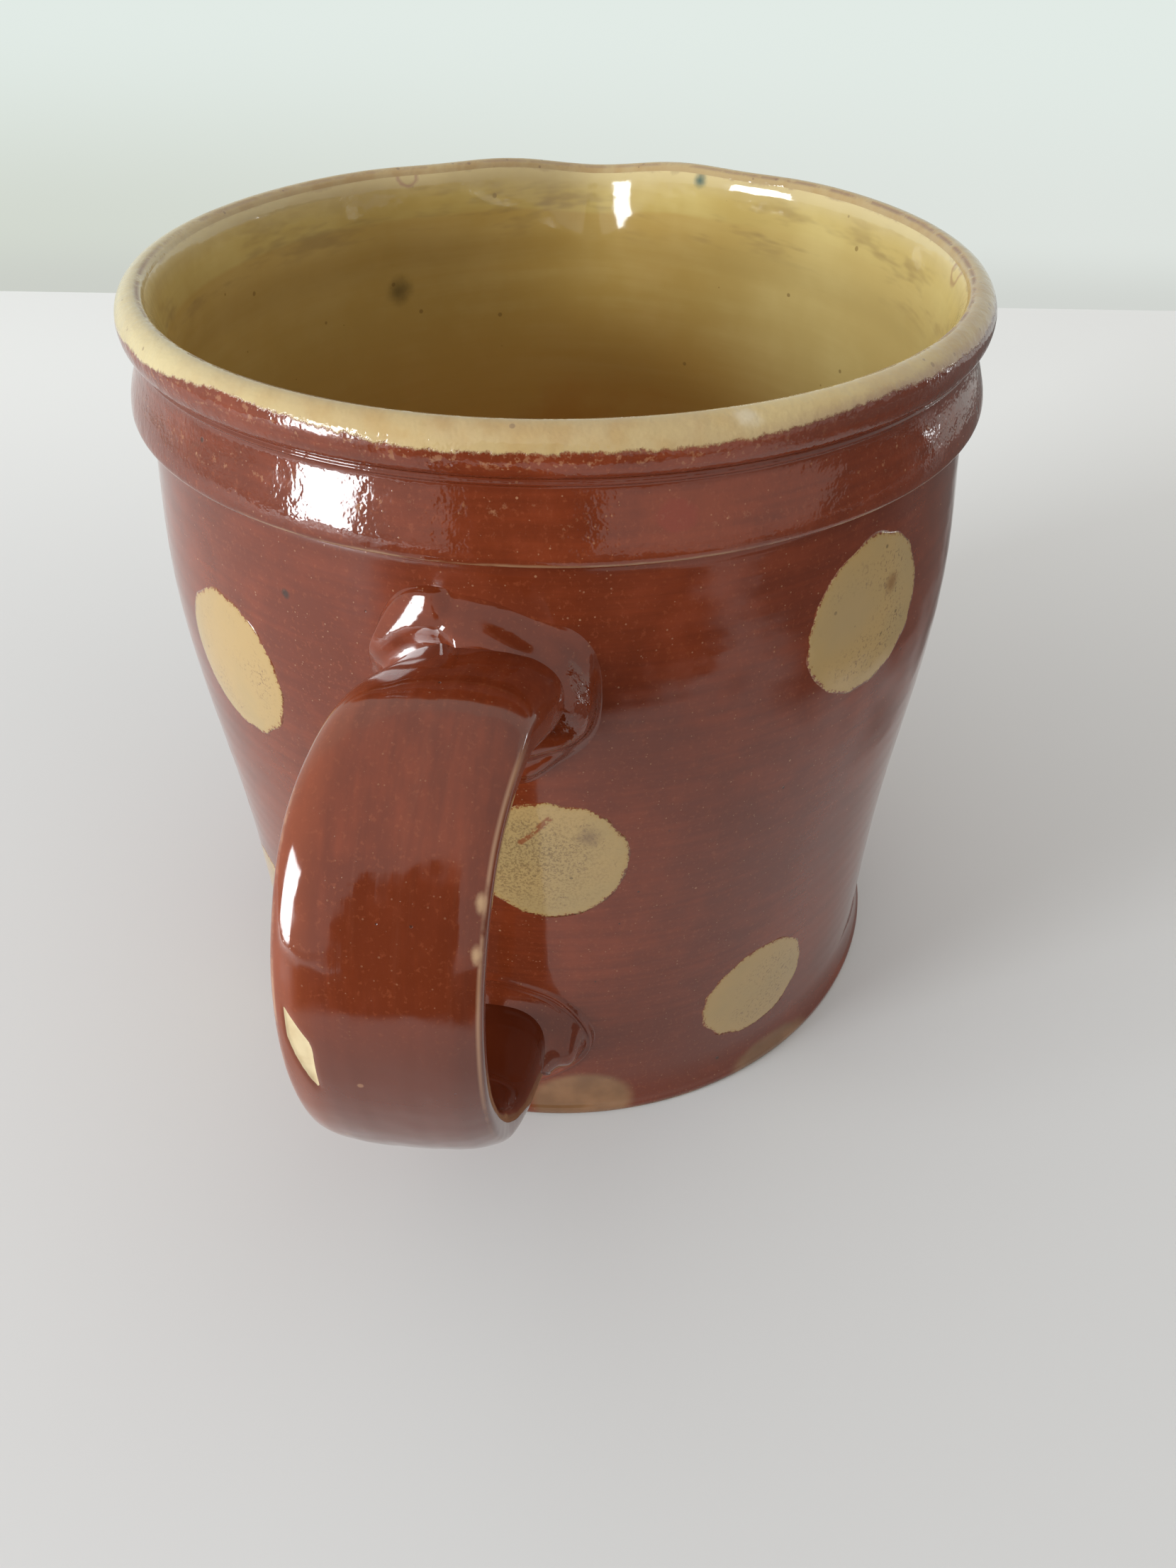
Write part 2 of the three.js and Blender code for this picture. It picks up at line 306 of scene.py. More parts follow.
    def finish(self, colour, roughness, height):
        """Height is in millimetres of relief."""
        relief = self.make(
            "ShaderNodeBump", {"Strength": 1.0, "Distance": MM, "Height": height}
        )
        for socket, value in (
            ("Base Color", colour),
            ("Roughness", roughness),
            ("Normal", relief.outputs[0]),
        ):
            self.tree.links.new(value, self.surface.inputs[socket])
        self.surface.inputs["IOR"].default_value = GLAZE_IOR
        return self.material


RED, RED_DEEP, RED_LIGHT = (0.2, 0.037, 0.0115), (0.13, 0.024, 0.008), (0.27, 0.07, 0.027)
PALE_SPECK, PINHOLE = (0.5, 0.27, 0.14), (0.05, 0.02, 0.012)
BARE_CLAY, WORN_EDGE = (0.17, 0.083, 0.037), (0.34, 0.19, 0.1)
CREAM, DOT_CREAM = (0.475, 0.35, 0.165), (0.43, 0.29, 0.12)
DIRT, WORN_PURPLE = (0.16, 0.095, 0.06), (0.25, 0.135, 0.09)
YELLOW, YELLOW_DEEP = (0.66, 0.53, 0.2), (0.53, 0.385, 0.115)
PALE_LIP = (0.66, 0.56, 0.34)
RED_PAINTED_SHADE, RED_WARM, RED_SPOT = (0.105, 0.02, 0.007), (0.32, 0.07, 0.02), (0.2, 0.03, 0.012)
CLAY_LIGHT, CHIP_PALE, CHIP_DEEP = (0.25, 0.125, 0.057), (0.63, 0.51, 0.3), (0.56, 0.43, 0.24)
CREAM_WARM, CREAM_LIT, CREAM_YELLOW = (0.44, 0.3, 0.125), (0.6, 0.52, 0.29), (0.66, 0.52, 0.24)
CREAM_DIRTY, CREAM_SPOT, BRUISE = (0.3, 0.18, 0.12), (0.66, 0.58, 0.42), (0.15, 0.055, 0.04)
PULL_MARK, STRAP_EDGE, STRAP_SPOT = (0.42, 0.19, 0.11), (0.44, 0.24, 0.14), (0.5, 0.31, 0.17)
AMBER, OLIVE_PAINTED_SHADE, YELLOW_LIT = (0.42, 0.195, 0.04), (0.33, 0.22, 0.075), (0.74, 0.64, 0.31)
LINING_SPECK, SMOKE, RING_MARK = (0.2, 0.12, 0.04), (0.26, 0.17, 0.08), (0.34, 0.17, 0.12)
BLUE_GREEN, DARK_SPOT, NOTCH_BROWN = (0.07, 0.13, 0.1), (0.09, 0.07, 0.03), (0.2, 0.11, 0.06)
DOT_WARM, DOT_BROWN, DOT_GREY = (0.39, 0.275, 0.12), (0.24, 0.12, 0.04), (0.36, 0.27, 0.15)
DOT_EDGE, DOT_FRINGE, SCRATCH = (0.4, 0.26, 0.09), (0.2, 0.05, 0.018), (0.24, 0.075, 0.03)
FRECKLE, DOT_SPECK = (0.19, 0.12, 0.055), (0.12, 0.08, 0.04)

# heights of the collar's parts, in mm
COLLAR_START, COLLAR_EDGE, COLLAR_FACE = (91.5, 94.5), (93.4, 93.8), (97.0, 99.5)
GROOVE, BEAD_START = (100.6, 102.2), (101.5, 103)

# Patches are [centre in mm, radius in mm, softness, stretch along X, Y and Z, raggedness].
BARE_PATCH = ((-49.6, -7.4, 2.6), 6.6, 0.16, (1, 1.1, 0.85), 0.14)
FOOT_PATCHES = (
    ((-36.8, -35, 0.5), 3.4, 0.2, (2.2, 2.2, 1.0), 0.16),
    ((34, 38, 0), 4.2, 0.2, (2, 2, 1.1), 0.16),
    ((16, -48, 0), 3.2, 0.2, (3, 3, 0.9), 0.16),
    ((-20, 47, 0), 3.6, 0.2, (2.4, 2.4, 0.8), 0.16),
)


def red_glaze(s, streaks, uneven, speckled):
    """Colour, roughness and relief of the red glaze. Streaks run the way the clay was drawn."""
    cloud = s.noise(28, 3.0, 0.55)
    mottle = s.noise(260, 3.0, 0.6)
    fine = s.noise(1900, 2.0, 0.6)
    drawn = s.noise(1.0, 3.0, 0.6, s.stretched(streaks))
    tone = s.add(s.times(cloud, 0.5), s.add(s.times(mottle, 0.25), s.times(drawn, 0.25)))
    colour = s.mix(s.step(tone, 0.4, 0.64), RED_DEEP, RED)
    colour = s.mix(s.times(s.step(fine, 0.55, 0.75), 0.35), colour, RED_LIGHT)
    pale = s.specks(700, 0.12, 0.12)
    tiny = s.specks(1900, 0.24, 0.3)
    dark = s.specks(300, 0.1, 0.3)
    colour = s.mix(s.times(s.either(pale, s.times(tiny, 0.7)), speckled), colour, PALE_SPECK)
    colour = s.mix(s.times(dark, 0.8), colour, PINHOLE)
    roughness = s.add(0.07, s.times(s.step(mottle, 0.4, 0.75), 0.08))
    relief = s.add(s.times(mottle, 0.012), s.times(drawn, 0.004))
    relief = s.add(relief, s.times(s.noise(95, 2.0, 0.5), uneven))
    relief = s.add(relief, s.times(s.either(pale, tiny), 0.006))
    relief = s.add(relief, s.times(dark, -0.02))
    return colour, roughness, relief


def lip_wear(s, mask, low, high):
    """The broken dark line along the lip, strongest on the side towards the handle."""
    side = s.either(s.spot((-30, -25, 107), 80, 0.4), s.spot((-32, 36, 107), 32, 0.4))
    line = s.times(mask, s.step(s.noise(170, 4.0, 0.7), low, high))
    return s.times(line, s.add(0.25, s.times(side, 0.75)))


def body_material():
    """Red glaze on the wall, cream slip on the rim, worn ridges and a bare foot."""
    s = Shader("red_brown_glaze")
    colour, roughness, relief = red_glaze(s, (60, 60, 1100), 0.06, 0.45)
    crest, height = s.attribute("from_crest"), s.attribute("height")
    ragged = s.add(
        s.times(s.swing(90, 2.0), 1.6),
        s.times(s.swing(1100, 4.0, 0.75), 1.9),
    )
    right = s.spot((-18, -50, 106), 36, 0.5)
    raised = s.spot((-44.5, 27, 106), 11, 0.9)
    edge = s.either(s.times(right, 0.8), s.times(raised, 1.2))
    edge = s.add(s.add(-3.5, s.times(ragged, 0.7)), edge)  # of the cream, from the crest
    from_edge = s.math("SUBTRACT", crest, edge)

    # the wall close to the collar carries more lumps, as the potter's sponge left it
    upper = s.step(height, *COLLAR_START)
    relief = s.add(relief, s.times(upper, s.times(s.noise(430, 3.0, 0.65), 0.1)))
    lumpy = s.times(s.step(height, *BEAD_START), s.noise(330, 3.0, 0.65))
    relief = s.add(relief, s.times(lumpy, 0.14))
    # painted shade: the groove between bead and collar is darkened
    grooved = s.band(height, *GROOVE, 0.35)
    colour = s.mix(s.times(grooved, 0.55), colour, RED_DEEP)
    scrape = s.noise(1.0, 3.0, 0.7, s.stretched((110, 110, 500)))
    wavering = s.add(height, s.times(s.swing(130, 3.0, 0.6), 0.9))
    worn = s.times(s.band(wavering, *COLLAR_EDGE, 0.2), s.step(scrape, 0.36, 0.56))
    colour = s.mix(s.times(worn, 0.85), colour, WORN_EDGE)
    rub = s.times(s.band(height, *COLLAR_FACE, 0.8), s.step(s.noise(700, 3.0, 0.7), 0.6, 0.7))
    colour = s.mix(s.times(rub, 0.3), colour, PALE_SPECK)
    blot = s.spot((-49.9, -17.1, 98), 1.9, 0.15, (1, 1.2, 0.9), 0.3)
    colour = s.paint(colour, RED_SPOT, blot, 0.8)
    colour = s.mix(s.spot((-45.9, 24.6, 84.7), 0.5, 0.5, wobble=0.3), colour, PINHOLE)

    # the foot: the red slip stops short of the table here and there
    foot = s.spot(*BARE_PATCH)
    for patch in FOOT_PATCHES:
        foot = s.either(foot, s.spot(*patch))
    ring = s.step(s.add(height, s.times(ragged, 0.5)), 1.1, 0.5)
    foot = s.either(foot, ring)
    clay = s.mix(s.step(s.noise(160, 3.0), 0.35, 0.7), BARE_CLAY, CLAY_LIGHT)
    colour = s.mix(foot, colour, clay)
    roughness = s.add(roughness, s.times(ring, 0.5))

    # the rim
    cream = s.step(from_edge, -0.12, 0.3)
    tone = s.mix(s.step(s.noise(320, 3.0), 0.4, 0.7), CREAM, CREAM_WARM)
    # painted light: the rim's cream is lighter on the left, towards the window lamp
    tone = s.paint(tone, CREAM_LIT, s.spot((-22, 46, 106), 30, 0.6), 0.6)
    tone = s.paint(tone, CREAM_YELLOW, s.spot((-40, -32, 107), 13, 0.6), 0.5)
    tone = s.paint(tone, DIRT, s.specks(800, 0.3, 0.25), 0.5)
    dirty = s.times(s.step(s.noise(130, 4.0, 0.7), 0.42, 0.62), s.add(0.1, s.times(right, 0.12)))
    lower = s.times(right, s.step(from_edge, 1.7, 0.0))
    dirty = s.either(dirty, s.times(lower, 0.75))
    tone = s.mix(dirty, tone, CREAM_DIRTY)
    colour = s.mix(cream, colour, tone)
    fringe = s.times(
        s.band(from_edge, -1.6, -0.1, 0.4), s.step(s.noise(1300, 2.0, 0.6), 0.56, 0.66)
    )
    colour = s.mix(s.times(fringe, s.times(s.inverse(right), 0.3)), colour, PALE_SPECK)
    bruised = s.times(right, s.band(from_edge, -1.5, -0.1, 0.5))
    colour = s.paint(colour, BRUISE, bruised, 0.5)
    line = lip_wear(s, s.band(crest, 0.45, 0.95, 0.25), 0.4, 0.54)
    colour = s.paint(colour, WORN_PURPLE, line, 0.8)
    pale = s.spot((-46.5, -22.9, 106.9), 0.8, 0.8, (1, 1.5, 1), 0.6)
    colour = s.paint(colour, CREAM_SPOT, pale, 0.7)
    roughness = s.add(roughness, s.times(line, 0.3))
    relief = s.add(relief, s.times(cream, 0.05))
    relief = s.add(relief, s.times(line, -0.08))
    return s.finish(colour, roughness, relief)


def handle_material():
    """The red glaze with marks of the pull, worn edges and a chip that shows the pale body."""
    s = Shader("red_brown_glaze_strap")
    across, along = s.attribute("across"), s.attribute("along")
    flow = s.make("ShaderNodeCombineXYZ", {0: s.times(across, 0.5), 1: s.times(along, 0.02)})
    colour, roughness, relief = red_glaze(s, (160, 900, 90), 0.3, 0.28)
    pulls = s.noise(1.0, 4.0, 0.6, flow.outputs[0])
    colour = s.paint(colour, PULL_MARK, s.step(pulls, 0.55, 0.75), 0.06)
    colour = s.paint(colour, RED_DEEP, s.step(s.noise(170, 4.0, 0.65), 0.45, 0.7), 0.3)
    # painted shade: the strap is darker low down, below about 60 mm, by the wall
    colour = s.paint(colour, RED_PAINTED_SHADE, s.step(s.z, 0.068, 0.058), 0.9)
    colour = s.paint(colour, RED_WARM, s.step(across, 4.5, 8.5), 0.35)
    relief = s.add(relief, s.times(pulls, 0.012))
    patchy = s.noise(120, 4.0, 0.7)
    right = s.times(s.band(across, -9.75, -9.45, 0.16), s.add(0.25, s.step(along, 70, 45)))
    right = s.times(right, s.step(along, 19, 24))
    left = s.times(s.band(across, 9.45, 9.75, 0.16), s.step(along, 75, 50))
    right = s.times(right, s.step(patchy, 0.3, 0.48))
    worn = s.either(right, s.times(left, s.step(patchy, 0.4, 0.6)))
    outer = s.step(s.attribute("outer"), -0.1, 0.1)
    colour = s.paint(colour, STRAP_EDGE, s.times(worn, outer), 0.75)
    for place, size in (((-80.4, -1.5, 75.4), 0.6), ((-82.9, -1.2, 71.3), 0.55)):
        colour = s.mix(s.spot(place, size, 0.7, (1, 0.7, 1.6), 0.4), colour, STRAP_SPOT)
    low = s.times(s.specks(260, 0.13, 0.4), s.step(s.z, 0.068, 0.05))
    colour = s.mix(s.times(low, 0.5), colour, PALE_SPECK)
    chip = s.attribute("chip")
    fresh = s.mix(s.step(s.noise(700, 3.0), 0.35, 0.7), CHIP_PALE, CHIP_DEEP)
    colour = s.mix(s.step(chip, 0.42, 0.55), colour, fresh)
    roughness = s.add(roughness, s.times(s.step(chip, 0.4, 0.6), 0.35))
    return s.finish(colour, roughness, relief)


def joint_material():
    """The red glaze over clay that was smeared with a wet finger."""
    s = Shader("red_brown_glaze_joint")
    colour, roughness, relief = red_glaze(s, (200, 150, 500), 0.25, 0.4)
    smear = s.noise(1.0, 3.0, 0.6, s.stretched((120, 90, 320)))
    relief = s.add(relief, s.times(smear, 0.1))
    pitted = s.times(s.spot((-57, -7, 79), 4, 0.5), s.noise(500, 3.0, 0.6))
    relief = s.add(relief, s.times(pitted, 0.35))
    colour = s.mix(s.spot(*BARE_PATCH), colour, BARE_CLAY)
    return s.finish(colour, roughness, relief)


def lining_material():
    """Yellow glaze over pale slip, thin and whitish at the lip and browner lower down; painted
    light at the right inside, painted shade at the left inside and under the step.
    """
    s = Shader("yellow_lining_glaze")
    crest = s.attribute("from_crest")
    cloud = s.noise(40, 4.0, 0.6)
    thrown = s.noise(1.0, 3.0, 0.6, s.stretched((30, 30, 420)))
    tone = s.add(s.times(cloud, 0.8), s.times(thrown, 0.2))
    colour = s.mix(s.step(tone, 0.38, 0.66), YELLOW_DEEP, YELLOW)
    # painted light: the right inside, where the window lamp falls, is lighter and less brown
    lit = s.spot((22, -50, 92), 32, 0.5)
    # browner towards the bottom, and painted shade just under the step in the inner wall
    below = s.either(s.step(s.z, 0.101, 0.062), s.times(s.step(crest, 7.4, 8.1), 0.36))
    lower_brown_and_shade = s.times(below, s.add(0.62, s.times(s.step(cloud, 0.4, 0.65), 0.3)))
    lower_brown_and_shade = s.times(lower_brown_and_shade, s.inverse(s.times(lit, 0.7)))
    colour = s.mix(lower_brown_and_shade, colour, AMBER)
    # painted shade over the left inside, which the window lamp doesn't reach
    colour = s.paint(colour, OLIVE_PAINTED_SHADE, s.spot((16, 46, 99), 36, 0.6), 0.35)
    colour = s.paint(colour, YELLOW_LIT, lit, 0.3)
    colour = s.paint(colour, LINING_SPECK, s.specks(330, 0.13, 0.35), 0.6)
    edge = s.add(crest, s.times(s.swing(200, 4.0, 0.7), 1.8))
    colour = s.mix(s.times(s.step(edge, 5.5, 1.8), 0.5), colour, PALE_LIP)
    smoky = s.step(s.noise(1.0, 3.0, 0.7, s.stretched((60, 60, 260))), 0.52, 0.7)
    colour = s.paint(colour, SMOKE, s.times(s.band(crest, 4, 11, 3), smoky), 0.5)
    line = lip_wear(s, s.step(edge, 2.1, 1.6), 0.44, 0.58)
    colour = s.paint(colour, WORN_PURPLE, line, 0.55)
    colour = s.mix(s.spot((44.9, -16.3, 103.7), 1.1, 0.6, wobble=0.3), colour, BLUE_GREEN)
    colour = s.paint(colour, DARK_SPOT, s.spot((37.7, 29.4, 88.3), 1.5, 0.9, wobble=0.5), 0.7)
    notch = s.spot((49.5, -13.6, 104.6), 1.5, 0.4, wobble=0.4)
    colour = s.paint(colour, NOTCH_BROWN, notch, 0.7)
    for place, size in (((2.5, -48.7, 105.2), 2.1), ((39.7, 27.1, 104.6), 1.7)):
        hole = s.spot(place, 0.7 * size, 0.2, wobble=0.3)
        ring = s.times(s.spot(place, size, 0.15, wobble=0.3), s.inverse(hole))
        colour = s.paint(colour, RING_MARK, ring, 0.6)
    roughness = s.add(0.08, s.times(s.step(cloud, 0.4, 0.7), 0.08))
    relief = s.add(s.times(s.noise(240, 3.0, 0.5), 0.03), s.times(thrown, 0.012))
    relief = s.add(relief, s.times(s.step(crest, 11, 4), s.times(s.noise(230, 2.0, 0.5), 0.16)))
    return s.finish(colour, roughness, relief)


def dot_material():
    """Cream slip under the glaze: brown freckles, a fuzzy brown edge, a scratch and a few spots."""
    s = Shader("cream_slip_glaze")
    inset = s.attribute("inset")
    cloud = s.noise(85, 3.0, 0.6)
    colour = s.mix(s.step(cloud, 0.38, 0.68), DOT_CREAM, DOT_WARM)
    freckle = s.step(s.noise(2400, 3.0, 0.7), 0.53, 0.64)
    where = s.step(s.noise(130, 2.0), 0.4, 0.62)
    inside = s.times(s.step(inset, 0.8, 2.6), 0.6)
    colour = s.paint(colour, DIRT, s.times(freckle, where), inside)
    near = s.spot((-53.2, -0.9, 53.5), 8.0, 0.7)
    dense = s.times(s.step(s.noise(2600, 3.0, 0.75), 0.47, 0.6), near)
    colour = s.paint(colour, FRECKLE, dense, 0.7)
    colour = s.paint(colour, DOT_SPECK, s.specks(500, 0.16, 0.3), 0.7)
    scratch = s.scratch((-52.9, -0.7, 56.8), (-52.9, -4.1, 60.8), 0.55)
    scratch = s.times(scratch, s.step(s.noise(1100, 3.0, 0.7), 0.4, 0.5))
    colour = s.paint(colour, SCRATCH, scratch, 0.85)
    for place, size, ragged, strength, new in (
        ((-52.8, -8.6, 57.6), 1.3, 0.6, 0.6, DIRT),
        ((-32.9, -41.7, 81.8), 1.1, 0.3, 0.85, DOT_BROWN),
        ((-38.5, -36.5, 80.5), 4.0, 0.5, 0.45, DOT_GREY),
    ):
        colour = s.paint(colour, new, s.spot(place, size, 0.7, wobble=ragged), strength)
    ragged = s.add(inset, s.times(s.swing(1900, 4.0, 0.8), 3.0))
    colour = s.paint(colour, DOT_EDGE, s.step(ragged, 1.0, 0.35), 0.55)
    colour = s.mix(s.step(ragged, 0.45, 0.15), colour, DOT_FRINGE)
    roughness = s.add(0.08, s.times(s.step(cloud, 0.4, 0.7), 0.08))
    relief = s.add(s.times(s.noise(500, 3.0, 0.6), 0.03), s.times(s.noise(90, 2.0), 0.06))
    return s.finish(colour, roughness, relief)


# ---------------------------------------------------------------- the body and the lining

RIM = [  # (radius, height) from the collar's lower edge, over the bead and the crest, to the lip
    (51.2, 92.6), (51.3, 93.0), (52.1, 93.15), (52.95, 93.4), (53.25, 93.9), (53.25, 94.5),
    (53.0, 95.6), (52.6, 96.8), (52.15, 98.0), (51.7, 99.2), (51.4, 100.2), (51.25, 100.7),
    (51.2, 101.1),
    (51.5, 101.35), (51.55, 101.5), (51.3, 101.75), (51.4, 102.0), (52.1, 102.4), (52.55, 103.1),
    (52.75, 104.1), (52.7, 105.1), (52.35, 106.0), (51.75, 106.75), (50.95, 107.2), (50.3, 107.3),
    (49.7, 107.15), (49.3, 106.8),
]
LIP = (49.1, 106.3)

foot = rounded([
    (46.5, 0.35), (47.2, 0.1), (48.0, 0.0), (50.9, 0.0), (51.45, 0.3), (51.6, 1.0), (51.5, 1.7),
])
wall_heights = np.linspace(1.9, 92.3, 112)
wall = np.stack([wall_radius(wall_heights), wall_heights], 1)
rim = rounded([*RIM, LIP])


def inside_wall(offset):
    """From under the lip down to the floor's middle, offset outwards into the clay."""
    knots = np.array([
        (106.3, 48.95), (104.8, 48.66), (103.4, 48.33), (102.2, 48.08), (100.9, 47.88),
        (99.2, 47.72), (95.4, 47.62), (94.4, 48.05), (92.5, 48.12), (80.0, 48.25),
        (69.0, 48.3), (54.0, 47.9), (40.0, 47.1), (27.0, 46.4), (15.0, 45.7),
    ])
    heights = np.linspace(105.6, 15.0, 100)
    radii = np.interp(-heights, -knots[:, 0], knots[:, 1])
    soft = np.convolve(np.pad(radii, 2, mode="edge"), np.ones(5) / 5, "valid")
    side = np.stack([soft + offset, heights], 1)
    turn = np.linspace(0, 1, 14)[1:, None]
    start, middle = side[-1], np.array([side[-1, 0] - 0.4, FLOOR - offset])
    end = np.array([side[-1, 0] - FLOOR_CORNER, FLOOR - offset])
    corner = (1 - turn) ** 2 * start + 2 * turn * (1 - turn) * middle + turn**2 * end
    across = np.linspace(end[0], 1.5, 30)[1:]
    swirl = 0.12 * np.sin(across * 0.9) * (offset == 0)
    floor = np.stack([across, FLOOR - offset + swirl], 1)
    return np.concatenate([side, corner, floor])


def arc_lengths(outline):
    return np.concatenate([[0], np.cumsum(np.hypot(*np.diff(outline, axis=0).T))])


outside = np.concatenate([[(0, 0.35)], [(r, 0.35) for r in (8, 20, 32, 42)], foot, wall, rim])
hidden = inside_wall(LINING_THICKNESS)[4::3]  # coarser, as the lining covers it
body_outline = np.concatenate([outside, [(49.4, 105.4)], hidden, [(0, hidden[-1, 1])]])
lengths = arc_lengths(body_outline)
crest_at = lengths[len(outside) - len(rim) + int(np.argmax(rim[:, 1]))]
lip_ring = len(outside) - 2  # the ring of the lip among the rings that revolve() makes

points, faces = revolve(body_outline, ripple=0.008)
rings = body_outline[1:-1]
make_piece(
    "glazed_jug_body", points, faces, body_material(), "jug_body",
    {
        "from_crest": per_ring((lengths - crest_at)[1:-1], (-200, 200)),
        "height": per_ring(rings[:, 1]),
    },
    range(lip_ring * AROUND, (lip_ring + 1) * AROUND),
)

face = inside_wall(0.0)
back = inside_wall(LINING_THICKNESS - 0.15)[::-1][::2]
lining_outline = np.concatenate([
    [(0, back[0, 1])], back[:-2], [(49.1, 105.6)], [LIP], face, [(0, FLOOR)],
])
lip_in_lining = len(back) - 1
lip_from_crest = lengths[len(outside) - 1] - crest_at
lengths = arc_lengths(lining_outline)
from_crest = lengths - lengths[lip_in_lining + 1] + lip_from_crest
points, faces = revolve(lining_outline)
make_piece(
    "yellow_lining", points, faces, lining_material(), "yellow_slip_lining",
    {"from_crest": per_ring(from_crest[1:-1], (200, 200))},
    range(lip_in_lining * AROUND, (lip_in_lining + 1) * AROUND),
)

# ---------------------------------------------------------------- the handle

HANDLE_PATH = np.array([
    (-47, 1.6, 76.5), (-57, 3.0, 80.8), (-65.5, 5.2, 82.8), (-75.3, 7.2, 79.0),
    (-82.3, 8.1, 69.4), (-84.5, 8.4, 57.5), (-82.2, 8.3, 44.6), (-75.7, 8.0, 33.4),
    (-66.6, 7.5, 25.0), (-57, 6.8, 19.8), (-47, 5.6, 16.0),
])
STRAP_HALF_WIDTH, ROOT_HALF_WIDTH = 10.0, 9.3
OUTER_BULGE, INNER_BULGE = 2.62, 3.9
ROOT_EXTRA, ROOT_LENGTH, TAIL_EXTRA, TAIL_START, TAIL_SWELL = 3.2, 0.3, 1.6, 0.78, 2.2
ROOT_SQUARENESS, STRAP_SQUARENESS = 1.9, 2.6
STRAP_COLUMNS, STRAP_ROWS = 128, 210
STRAP_SINK = 1.4  # the strap's ends stop this deep in the wall


def path_curve(knots, steps=60):
    """Points of a centripetal Catmull-Rom curve through the knots."""
    knots = np.concatenate([[2 * knots[0] - knots[1]], knots, [2 * knots[-1] - knots[-2]]])
    line = []
    for p0, p1, p2, p3 in zip(knots, knots[1:], knots[2:], knots[3:]):
        d0, d1, d2 = (np.sqrt(np.linalg.norm(b - a)) for a, b in ((p0, p1), (p1, p2), (p2, p3)))
        t1 = ((p1 - p0) / d0 - (p2 - p0) / (d0 + d1) + (p2 - p1) / d1) * d1
        t2 = ((p2 - p1) / d1 - (p3 - p1) / (d1 + d2) + (p3 - p2) / d2) * d1
        t = np.linspace(0, 1, steps, endpoint=False)[:, None]
        square, cube = 3 * (p2 - p1) - 2 * t1 - t2, 2 * (p1 - p2) + t1 + t2
        line.append(p1 + t1 * t + square * t**2 + cube * t**3)
    return np.concatenate([*line, knots[-2][None]])


curve = path_curve(HANDLE_PATH)
run = np.concatenate([[0], np.cumsum(np.linalg.norm(np.diff(curve, axis=0), axis=1))])
path_length = run[-1]
along = np.linspace(0.03, 0.985, STRAP_ROWS)
centre = np.stack([np.interp(along * path_length, run, c) for c in curve.T], 1)
tangent = np.gradient(centre, axis=0)
tangent /= np.linalg.norm(tangent, axis=1)[:, None]
across = np.array([0, 1, 0]) - tangent * tangent[:, 1:2]
across /= np.linalg.norm(across, axis=1)[:, None]
inwards = np.cross(tangent, across)
root = (1 - smoothstep(along, 0, ROOT_LENGTH))[:, None]
extra = ROOT_EXTRA * root + TAIL_EXTRA * smoothstep(along, TAIL_START, 1)[:, None]
half_width = STRAP_HALF_WIDTH + (ROOT_HALF_WIDTH - STRAP_HALF_WIDTH) * root
squareness = STRAP_SQUARENESS + (ROOT_SQUARENESS - STRAP_SQUARENESS) * root
turn = np.linspace(0, 2 * math.pi, STRAP_COLUMNS, endpoint=False)[None]
sine, cosine = np.sin(turn), np.cos(turn)
side = np.sign(cosine) * np.abs(cosine) ** (2 / squareness) * half_width
depth = np.sign(sine) * np.abs(sine) ** (2 / squareness)
swell = TAIL_SWELL * smoothstep(along, TAIL_START, 0.93)[:, None]  # only on the inner face
depth = depth * (np.where(sine > 0, INNER_BULGE + swell, OUTER_BULGE) + extra)
# the wet clay drew up into a low ridge along the strap's right edge; the pull left furrows
ridge = 0.2 * bump(turn - 1.1 * math.pi, 0.2) * smoothstep(along, 0.1, 0.2)[:, None]
ridge = ridge * (1 - smoothstep(along, 0.55, 0.8)[:, None])
wander = along[:, None] * 5
furrows = 0.02 * np.sin(side * 1.3 + np.sin(wander)) - 0.03
furrows = furrows + 0.01 * np.sin(side * 2.6 + 2 * np.cos(wander))
furrows = np.where(sine < 0, furrows, 0) * smoothstep(-sine, 0.1, 0.5)
side = side * (1 + ridge / STRAP_HALF_WIDTH)
depth = depth * (1 + ridge / 3) + furrows

# a chip on the left of the outer face, as corners (across the strap, height above the foot)
CHIP = np.array([
    (8.6, 65.5), (7.4, 63.4), (6.3, 61.5), (6.0, 60.2),
    (6.2, 54.2), (7.0, 56.0), (8.0, 59.0), (8.6, 61.5),
])


def inside_polygon(x, y, corners):
    """Signed distance to a polygon's edge, positive inside."""
    best = np.full(x.shape, 1e9)
    odd = np.zeros(x.shape, bool)
    for (ax, ay), (bx, by) in zip(corners, np.roll(corners, -1, axis=0)):
        t = (x - ax) * (bx - ax) + (y - ay) * (by - ay)
        t = np.clip(t / ((bx - ax) ** 2 + (by - ay) ** 2), 0, 1)
        best = np.minimum(best, np.hypot(x - ax - t * (bx - ax), y - ay - t * (by - ay)))
        crosses = (ay > y) != (by > y)
        with np.errstate(divide="ignore", invalid="ignore"):
            odd ^= crosses & (x < (bx - ax) * (y - ay) / (by - ay) + ax)
    return np.where(odd, best, -best)


